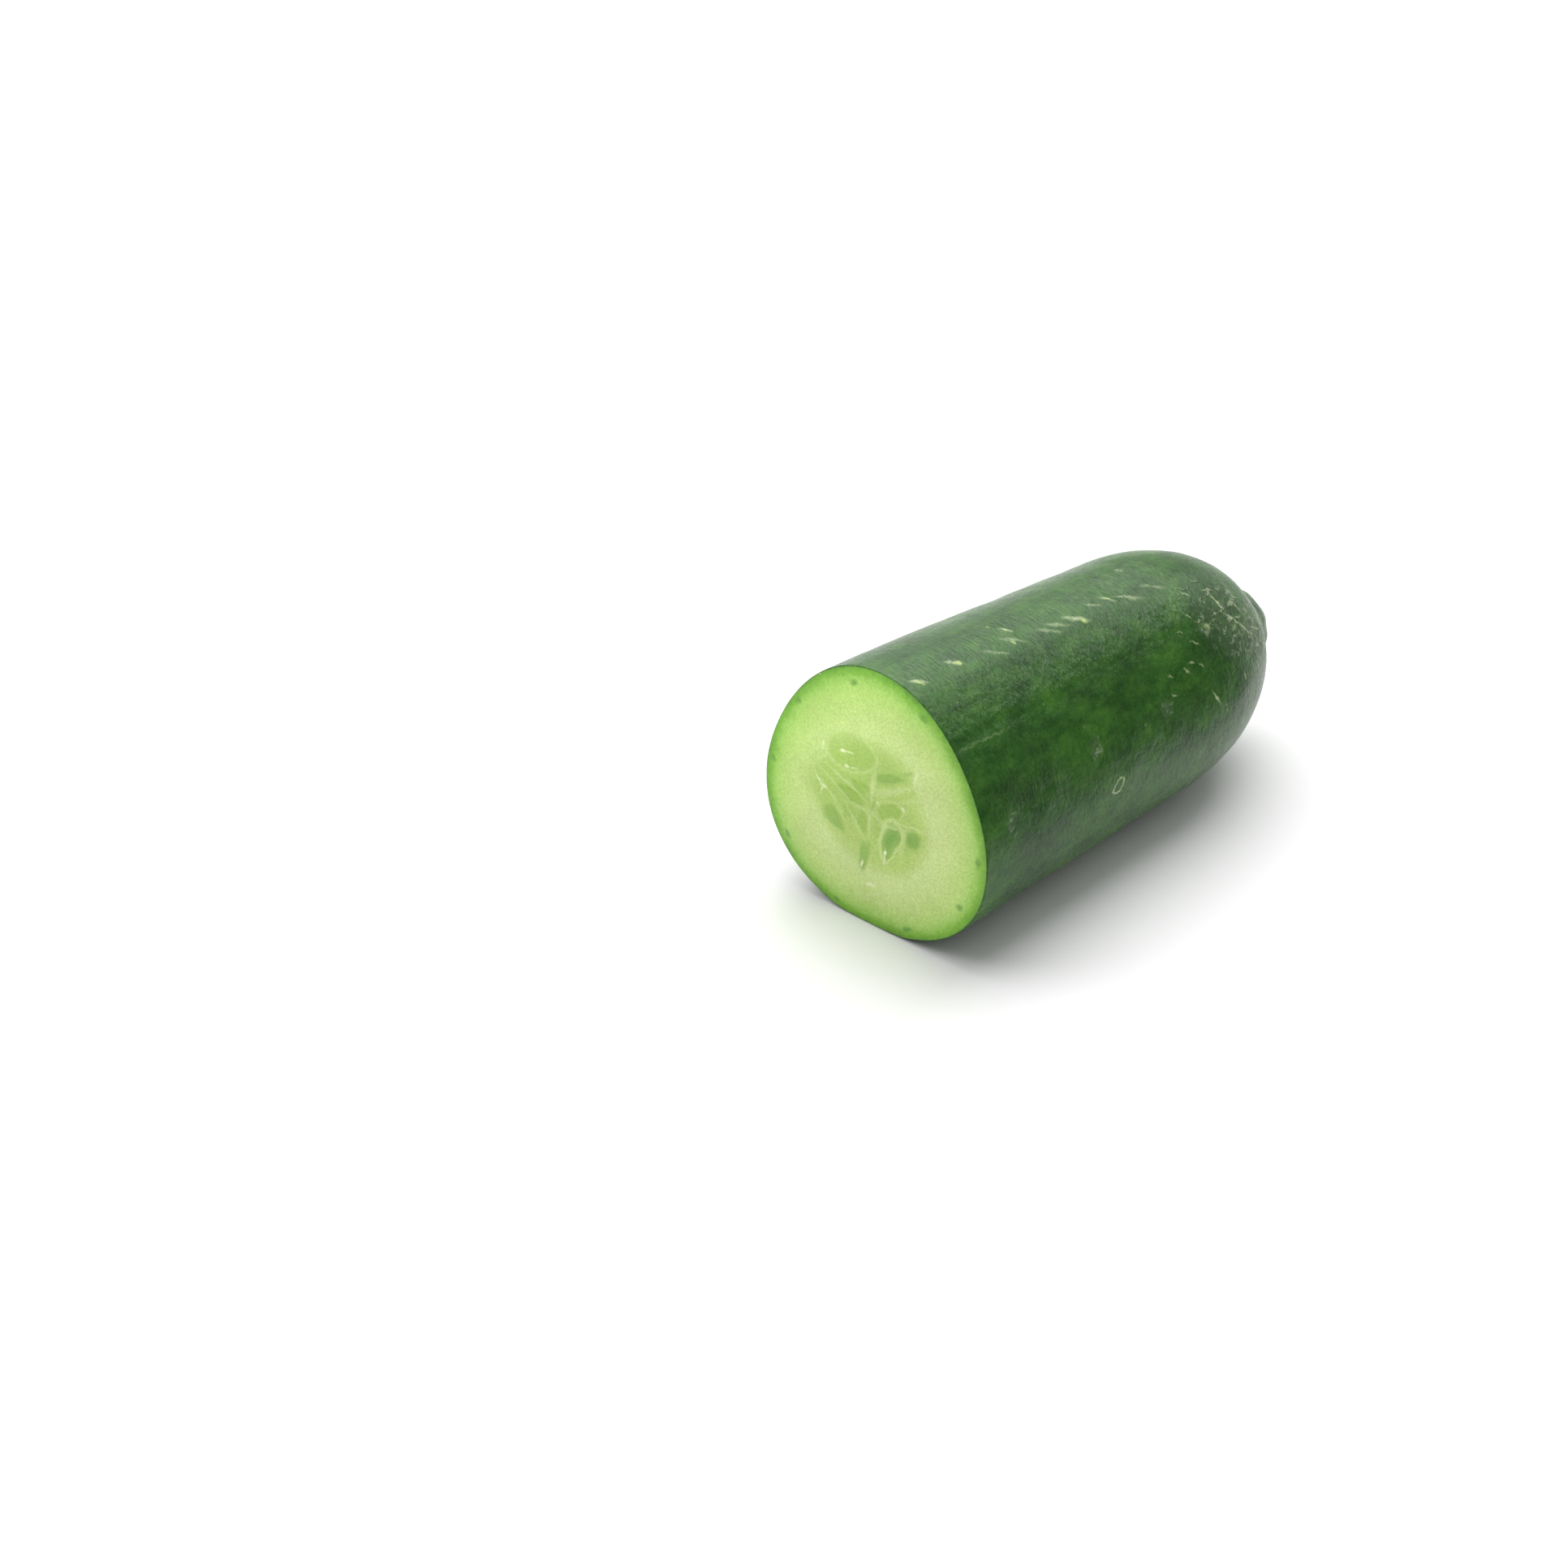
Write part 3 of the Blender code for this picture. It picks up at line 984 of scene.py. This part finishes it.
    def draw_cage(self) -> None:
        """Draw the skin's rings from the cut to the tip, and the cut face's rings inwards."""
        start = self.sections[0]
        bpy.ops.object.select_all(action="DESELECT")
        bpy.ops.mesh.primitive_circle_add(vertices=self.sides, radius=start.half_width,
                                          fill_type="NOTHING", location=start.middle,
                                          rotation=(math.radians(90), 0.0, 0.0))
        self.piece = bpy.context.object
        self.piece.name = "cucumber_end"
        self.piece.data.name = "cucumber_end"
        only(self.piece)
        bpy.ops.object.mode_set(mode="EDIT")
        bpy.ops.mesh.select_mode(type="VERT")
        bpy.ops.mesh.select_all(action="SELECT")
        bpy.ops.transform.resize(value=(1.0, 1.0, start.half_height / start.half_width),
                                 center_override=start.middle)
        before = start
        for section in self.sections[1:]:
            self.extrude(section.middle - before.middle, section.middle,
                         section.half_width / before.half_width,
                         section.half_height / before.half_height)
            before = section
        self.extrude(self.tip - before.middle)
        bpy.ops.mesh.merge(type="CENTER")
        self.close_cut(start.middle)
        bpy.ops.mesh.select_all(action="SELECT")
        bpy.ops.mesh.normals_make_consistent(inside=False)
        bpy.ops.object.mode_set(mode="OBJECT")
        bpy.ops.object.transform_apply(location=True, rotation=True, scale=True)

    def extrude(self, step: Vector, middle: Vector | None = None, wider: float = 1.0,
                higher: float = 1.0) -> None:
        """Extrude the selected ring and scale the new one.

        Args:
            step: How far the new ring moves.
            middle: The point that it is scaled about, or none to leave it.
            wider: How much wider it gets.
            higher: How much higher it gets.
        """
        bpy.ops.mesh.extrude_region_move(TRANSFORM_OT_translate={"value": step})
        if middle is not None:
            bpy.ops.transform.resize(value=(wider, 1.0, higher), center_override=middle)

    def close_cut(self, middle: Vector) -> None:
        """Fill the open end with rings that close in on its middle.

        Args:
            middle: The middle of the section at the cut.
        """
        bpy.ops.mesh.select_all(action="DESELECT")
        bpy.ops.mesh.select_non_manifold(extend=False, use_wire=False, use_boundary=True,
                                         use_multi_face=False, use_non_contiguous=False,
                                         use_verts=False)
        bpy.ops.transform.edge_crease(value=1.0)
        still = Vector((0.0, 0.0, 0.0))
        reach = 1.0
        for ring in range(self.cap_rings):
            target = (1.0 - (ring + 1.0) / (self.cap_rings + 1.0)) ** self.cap_crowding
            self.extrude(still, middle, target / reach, target / reach)
            reach = target
        self.extrude(still)
        bpy.ops.mesh.merge(type="CENTER")

    def fit_to_guide(self) -> None:
        """Refine the cage and pull its skin onto the guide."""
        only(self.piece)
        refine(self.piece, self.refinement)
        skin = self.piece.vertex_groups.new(name="skin")
        rows = [corner.index for corner in self.piece.data.vertices
                if corner.co.y > self.low.y + TOUCH]
        skin.add(rows, 1.0, "REPLACE")
        pull = self.piece.modifiers.new("pull", "SHRINKWRAP")
        pull.target = self.guide
        pull.wrap_method = "NEAREST_SURFACEPOINT"
        pull.vertex_group = "skin"
        bpy.ops.object.modifier_apply(modifier=pull.name)
        self.piece.vertex_groups.clear()
        self.fit_cut()
        bpy.data.objects.remove(self.guide)

    def fit_cut(self) -> None:
        """Spread the cut face so that its rim is the guide's open edge."""
        middle = self.sections[0].middle
        data = self.piece.data
        corners = self.read(data.vertices, "co")
        edge = self.read(self.guide.data.vertices, "co")
        edge = edge[edge[:, 1] < self.low.y + TOUCH]
        on_cut = corners[:, 1] < self.low.y + TOUCH

        def polar(points: np.ndarray) -> tuple[np.ndarray, np.ndarray]:
            """Give the direction and the distance of points from the middle."""
            offset_x, offset_z = points[:, 0] - middle.x, points[:, 2] - middle.z
            return np.arctan2(offset_z, offset_x), np.hypot(offset_x, offset_z)

        def reach_of(points: np.ndarray, angles: np.ndarray) -> np.ndarray:
            """Find how far a closed line of points is from the middle.

            Args:
                points: The points on the line.
                angles: The directions to look in.

            Returns:
                The distance in each direction.
            """
            found, reach = polar(points)
            order = np.argsort(found)
            return np.interp(angles, found[order], reach[order], period=2.0 * math.pi)

        angles, _ = polar(corners[on_cut])
        rim = corners[sorted(self.rim_rows())]
        spread = reach_of(edge, angles) / reach_of(rim, angles)
        corners[on_cut, 0] = middle.x + (corners[on_cut, 0] - middle.x) * spread
        corners[on_cut, 2] = middle.z + (corners[on_cut, 2] - middle.z) * spread
        data.vertices.foreach_set("co", corners.ravel())
        data.update()

    def read(self, parts: bpy.types.bpy_prop_collection, name: str) -> np.ndarray:
        """Read one vector of every part of a mesh.

        Args:
            parts: The mesh's corners, edges or faces.
            name: The vector's name.

        Returns:
            The vectors as rows.
        """
        found = np.empty(len(parts) * 3)
        parts.foreach_get(name, found)
        return found.reshape(-1, 3)

    def rim_rows(self) -> set[int]:
        """Find the corners where the skin and the cut face meet.

        Returns:
            Their numbers.
        """
        sides: tuple[set[int], set[int]] = (set(), set())
        for face in self.piece.data.polygons:
            sides[face.center.y < self.low.y + TOUCH].update(face.vertices)
        return sides[0] & sides[1]

    def bevel_rim(self) -> None:
        """Round the knife edge between the skin and the cut face a little."""
        data = self.piece.data
        only(self.piece)
        rim = self.rim_rows()
        for part in (data.vertices, data.edges, data.polygons):
            part.foreach_set("select", [False] * len(part))
        for edge in data.edges:
            edge.select = edge.vertices[0] in rim and edge.vertices[1] in rim
        bpy.ops.object.mode_set(mode="EDIT")
        bpy.ops.mesh.select_mode(type="EDGE")
        bpy.ops.mesh.bevel(offset=self.rim_bevel, segments=2, affect="EDGES")
        bpy.ops.mesh.select_all(action="DESELECT")
        bpy.ops.object.mode_set(mode="OBJECT")

    def survey(self) -> None:
        """Work out for every corner where it is on the fruit, before any relief."""
        data = self.piece.data
        self.corners = self.read(data.vertices, "co")
        self.normals = self.read(data.vertices, "normal")
        self.along = self.corners[:, 1] - self.low.y
        levels = [section.along for section in self.sections]
        middle_x = np.interp(self.along, levels, [section.middle.x for section in self.sections])
        end = ease((self.along / self.length - self.crown_share) / (1.0 - self.crown_share))
        core = self.core_height + end * (self.tip.z - self.core_height)
        offset_x, offset_z = self.corners[:, 0] - middle_x, self.corners[:, 2] - core
        self.turn = np.arctan2(offset_z, offset_x)
        self.reach = np.hypot(offset_x, offset_z)
        self.on_cut = self.along < TOUCH
        ring = (self.along > TOUCH) & (self.along < self.rim_bevel * 1.2)
        order = np.argsort(self.turn[ring])
        self.rim_reach = np.interp(self.turn, self.turn[ring][order], self.reach[ring][order],
                                   period=2.0 * math.pi)
        self.share = np.where(self.on_cut, self.reach / self.rim_reach, 1.0)

    def noise_field(self, size: float, shift: float, points: np.ndarray | None = None,
                    squash: float = 1.0) -> np.ndarray:
        """Smooth noise from about -1 to 1 at every corner.

        Args:
            size: The size of its lumps in metres.
            shift: Where in the noise to read, so that two fields differ.
            points: Where to read it, or the corners.
            squash: How many times longer the lumps are along the fruit.

        Returns:
            The noise at each point.
        """
        read = (self.corners if points is None else points) / size
        read = read * np.array((1.0, 1.0 / squash, 1.0)) + shift
        return np.array([noise.noise(row) for row in read.tolist()])

    def skin_relief(self) -> np.ndarray:
        """Work out how far the skin stands out, and how rubbed it is, at every corner.

        Returns:
            The height along the normal. A corner on the cut gets that of the rim beside it.
        """
        outwards = self.rim_reach - self.reach
        rim = self.corners + np.column_stack((outwards * np.cos(self.turn),
                                              np.zeros(len(outwards)),
                                              outwards * np.sin(self.turn)))
        points = np.where(self.on_cut[:, None], rim, self.corners)
        self.rubbed = np.zeros(len(points))
        relief = self.swell * self.noise_field(0.021, 3.1, points, 1.6)
        relief -= self.dent * ease(self.noise_field(0.010, 7.7, points) * 1.6)
        relief += self.lump * self.noise_field(0.0042, 1.3, points)
        relief += self.pore * self.noise_field(0.0017, 9.4, points, 0.5)
        degrees = np.degrees(self.turn)
        share = self.along / self.length
        # A shallow lengthwise crease below the upper lobe, near the cut
        off_crease = degrees - 47.0 - 2.0 * np.sin(self.along * 160.0)
        relief -= self.crease * np.exp(-(off_crease / 1.8) ** 2) * ease((0.20 - share) / 0.1)
        folds = np.abs(self.noise_field(0.0021, 5.5, points, 0.6))
        for spot in SKIN_SPOTS:
            around = (degrees - spot.across + 180.0) % 360.0 - 180.0
            across = np.radians(around) * self.reach
            up = self.along - spot.up * self.length
            if spot.mark is Mark.SPINE:
                near = (across ** 2 + up ** 2) / self.spine_radius ** 2
                relief += self.spine_rise * np.exp(-near) * (1.0 - self.on_cut)
            elif spot.mark is Mark.SCAR:
                first, second = turned(across, up, spot.turn)
                near = ((first / (spot.long * MILLIMETRE)) ** 2
                        + (second / (spot.wide * MILLIMETRE)) ** 2)
                sink = self.scar_sink * spot.strength
                relief -= sink * np.exp(-near) * (1.0 - 2.2 * folds)
                edge = ease((1.0 + spot.soft - np.sqrt(near)) / (2.0 * spot.soft))
                self.rubbed = np.maximum(self.rubbed, edge * spot.strength)
        # Puckers that run in to the tip
        pucker = ease((share - 0.86) / 0.06) * ease((1.0 - share) / 0.03)
        ripple = np.cos(11.0 * self.turn + 2.0 * self.noise_field(0.01, 2.2))
        return relief + self.pucker * pucker * ripple

    def face_relief(self) -> np.ndarray:
        """Work out how far the cut face stands out towards the knife.

        Returns:
            The height at every corner.
        """
        across = (self.corners[:, 0] - self.face_middle.x) / MEAN_RADIUS
        up = (self.corners[:, 2] - self.face_middle.z) / MEAN_RADIUS
        relief = self.lump * self.noise_field(0.006, 4.2) + self.pore * self.noise_field(0.002, 8.1)
        rises = {Mark.GEL: -self.core_sink, Mark.CELL: 0.8 * self.seed_rise,
                 Mark.GREEN: self.seed_rise, Mark.STRAND: 0.35 * self.seed_rise,
                 Mark.WHITE: 0.7 * self.seed_rise, Mark.CORE: -0.3 * self.seed_rise}
        for spot in FACE_SPOTS:
            first, second = turned(across - spot.across, up - spot.up, spot.turn)
            first = first / spot.long
            second = second / spot.wide / np.maximum(1.0 - spot.taper * first, 0.2)
            distance = np.hypot(first, second)
            fill = ease((1.0 + spot.soft - distance) / (2.0 * spot.soft))
            dome = 0.55 + 0.45 * np.sqrt(np.clip(1.0 - 0.8 * distance ** 2, 0.0, 1.0))
            relief += rises[spot.mark] * spot.strength * fill * dome
            if spot.mark in (Mark.CELL, Mark.GREEN):
                groove = np.exp(-((distance - 1.12) / 0.16) ** 2)
                relief -= 0.35 * self.seed_rise * spot.strength * groove
        return relief * ease((0.985 - self.share) / 0.03)

    def carve(self) -> None:
        """Give the skin and the cut face their relief, and keep the cut and the rest flat."""
        outward = self.normals.copy()
        rim = self.along < self.rim_bevel * 1.5
        outward[rim] = np.column_stack((np.cos(self.turn[rim]), np.zeros(rim.sum()),
                                        np.sin(self.turn[rim])))
        relief = self.skin_relief() * ease((self.corners[:, 2] + 0.0002) / 0.0025)
        relief *= self.share ** 4 * (0.3 + 0.7 * ease(self.along / 0.010))
        moved = self.corners + outward * relief[:, None]
        moved[:, 1] -= np.where(self.on_cut, self.face_relief(), 0.0)
        moved[:, 2] = np.maximum(moved[:, 2], 0.0)
        off = np.hypot(self.corners[:, 0] - self.tip.x, self.corners[:, 2] - self.tip.z)
        near_tip = self.along > 0.9 * self.length
        lip = self.lip_rise * np.exp(-((off - self.lip_radius) / 0.0005) ** 2)
        depth = self.hollow_sink + 0.0001 * self.noise_field(0.0009, 6.0)
        hollow = ease((0.0020 - off) / 0.0008) * depth
        moved[:, 1] += np.where(near_tip, lip - hollow, 0.0)
        self.piece.data.vertices.foreach_set("co", moved.ravel())
        self.piece.data.update()
        self.tip_distance = np.where(near_tip, off, 1.0)

    def write_maps(self) -> None:
        """Store the depth below the skin on the cut and the map laid round the skin."""
        data = self.piece.data
        for name, values in (("rim_depth", np.clip(1.0 - self.share, 0.0, 1.0)),
                             ("rubbed", self.rubbed)):
            stored = data.attributes.new(name, "FLOAT", "POINT")
            stored.data.foreach_set("value", values.astype(np.float32))
        for layer in list(data.uv_layers):
            data.uv_layers.remove(layer)
        flat = data.uv_layers.new(name="skin_map")
        loops = np.empty(len(data.loops), int)
        data.loops.foreach_get("vertex_index", loops)
        starts = np.empty(len(data.polygons), int)
        data.polygons.foreach_get("loop_start", starts)
        # Measured from the underside, and kept whole across it within each face
        angle = (self.turn[loops] + 0.5 * math.pi) % (2.0 * math.pi)
        first = np.repeat(angle[starts], np.diff(np.append(starts, len(loops))))
        angle = np.where(angle - first > math.pi, angle - 2.0 * math.pi, angle)
        angle = np.where(first - angle > math.pi, angle + 2.0 * math.pi, angle)
        laid = np.column_stack(((angle - 0.5 * math.pi) * MEAN_RADIUS, self.along[loops]))
        flat.data.foreach_set("uv", laid.ravel())

    def dress(self) -> None:
        """Give each face its finish."""
        group = make_spot_group()
        data = self.piece.data
        scar = ScarFinish()
        data.materials.append(SkinFinish().make(group, self.length))
        data.materials.append(FleshFinish().make(group, self.face_middle))
        data.materials.append(scar.make(self.tip))
        for face in data.polygons:
            rows = np.array(face.vertices)
            if self.on_cut[rows].all():
                face.material_index = 1
            elif self.tip_distance[rows].max() < scar.radius:
                face.material_index = 2
        data.shade_smooth()

    def build(self) -> bpy.types.Object:
        """Model and finish the piece.

        Returns:
            The finished piece.
        """
        self.make_guide()
        self.measure()
        self.draw_cage()
        LOG.info("cage drawn: %d faces", len(self.piece.data.polygons))
        self.fit_to_guide()
        self.bevel_rim()
        self.survey()
        self.carve()
        self.write_maps()
        self.dress()
        triangles = sum(len(face.vertices) - 2 for face in self.piece.data.polygons)
        LOG.info("%s finished: %d triangles", self.piece.name, triangles)
        return self.piece


# ---------------------------------------------------------------- the studio


@dataclass(frozen=True)
class Softbox:
    """A rectangular light that faces a point."""

    name: str
    place: Place
    size: tuple[float, float]
    power: float
    target: Place = (0.0, 0.0, 0.03)
    sheen_only: bool = True

    def hang(self) -> None:
        """Hang the light. One that is sheen only shows in gloss and lights nothing else."""
        lamp = bpy.data.lights.new(self.name, "AREA")
        lamp.shape = "RECTANGLE"
        lamp.size, lamp.size_y = self.size
        lamp.energy = self.power
        made = bpy.data.objects.new(self.name, lamp)
        made.location = self.place
        facing = Vector(self.target) - Vector(self.place)
        made.rotation_euler = facing.to_track_quat("-Z", "Y").to_euler()
        made.visible_diffuse = not self.sheen_only
        bpy.context.scene.collection.objects.link(made)


@dataclass
class Studio:
    """Pale floor, soft light and the camera."""

    camera_place: Place = (0.14991, -0.25518, 0.17199)
    camera_turn: float = 42.24
    camera_dip: float = 30.0
    lens: float = 35.0
    floor_size: float = 12.0
    floor_colour: Colour = (0.86, 0.86, 0.86, 1.0)
    floor_in_gloss: Colour = (0.10, 0.10, 0.10, 1.0)
    overhead_power: float = 2.8
    overhead_spread: float = 58.0
    overhead_way: Place = (0.28, -0.34, -0.90)
    softboxes: tuple[Softbox, ...] = (
        Softbox("back_softbox", (-0.05, 0.98, 0.92), (1.7, 0.8), 2.9),
        Softbox("right_softbox", (0.42, 0.98, 1.08), (0.5, 0.42), 5.6),
        Softbox("left_softbox", (-0.95, 0.85, 0.30), (0.6, 0.6), 0.6),
        Softbox("front_softbox", (-0.36, -0.34, 0.44), (0.35, 0.35), 1.1,
                target=(0.0, -0.06, 0.03), sheen_only=False),
    )

    def floor(self) -> None:
        """Lay the pale floor, which gloss on the right of the fruit sees as dim."""
        bpy.ops.object.select_all(action="DESELECT")
        bpy.ops.mesh.primitive_plane_add(size=self.floor_size, location=(0.0, 0.0, 0.0))
        floor = bpy.context.object
        floor.name = "floor"
        material, graph, shader = start_material("floor")
        right, _, _ = graph.split(graph.place())
        mirrored = graph.tree.nodes.new("ShaderNodeLightPath").outputs["Is Glossy Ray"]
        dim = graph.times(graph.span(right, 0.055, 0.11), mirrored)
        graph.fill(shader, Base_Color=graph.mix(dim, self.floor_colour, self.floor_in_gloss),
                   Roughness=0.9, Specular_IOR_Level=0.0)
        floor.data.materials.append(material)

    def lights(self) -> None:
        """Hang the lights."""
        sun = bpy.data.lights.new("overhead", "SUN")
        sun.energy = self.overhead_power
        sun.angle = math.radians(self.overhead_spread)
        made = bpy.data.objects.new("overhead", sun)
        made.rotation_euler = Vector(self.overhead_way).to_track_quat("-Z", "Y").to_euler()
        bpy.context.scene.collection.objects.link(made)
        for softbox in self.softboxes:
            softbox.hang()

    def surround(self) -> None:
        """Set a dim surround, brighter overhead and low at the back, and white in view."""
        world = bpy.data.worlds.new("surround")
        bpy.context.scene.world = world
        world.use_nodes = True
        graph = Graph(world.node_tree)
        seen = graph.tree.nodes.new("ShaderNodeLightPath").outputs["Is Camera Ray"]
        way = graph.tree.nodes.new("ShaderNodeTexCoord").outputs["Generated"]
        right, back, up = graph.split(way)
        wall = graph.times(graph.span(right, 0.22, -0.15, 0.0, 0.85), graph.span(back, 0.3, 0.7))
        wall = graph.times(wall, graph.span(up, 0.28, 0.02))
        soft = graph.math("MAXIMUM", graph.span(up, 0.05, 0.85, 0.11, 0.66), wall)
        graph.fill(graph.tree.nodes["Background"], Color=WHITE,
                   Strength=graph.math("MAXIMUM", soft, seen))

    def camera(self) -> None:
        """Stand the camera where the fruit is seen from its cut side and from above."""
        camera = bpy.data.cameras.new("camera")
        camera.lens = self.lens
        camera.sensor_width = 36.0
        camera.clip_start = 0.01
        camera.clip_end = 50.0
        made = bpy.data.objects.new("camera", camera)
        made.location = self.camera_place
        made.rotation_euler = Euler((math.radians(90.0 - self.camera_dip), 0.0,
                                     math.radians(self.camera_turn)))
        bpy.context.scene.collection.objects.link(made)
        bpy.context.scene.camera = made
        bpy.context.scene.view_settings.view_transform = "Standard"


def main() -> None:
    """Build the cucumber and its stage in order."""
    logging.basicConfig(level=logging.INFO)
    studio = Studio()
    studio.camera()
    studio.floor()
    studio.lights()
    studio.surround()
    fruit = CutCucumber()
    piece = fruit.build()
    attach(piece, "root")
    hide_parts(fruit.node)


if __name__ == "__main__":
    main()
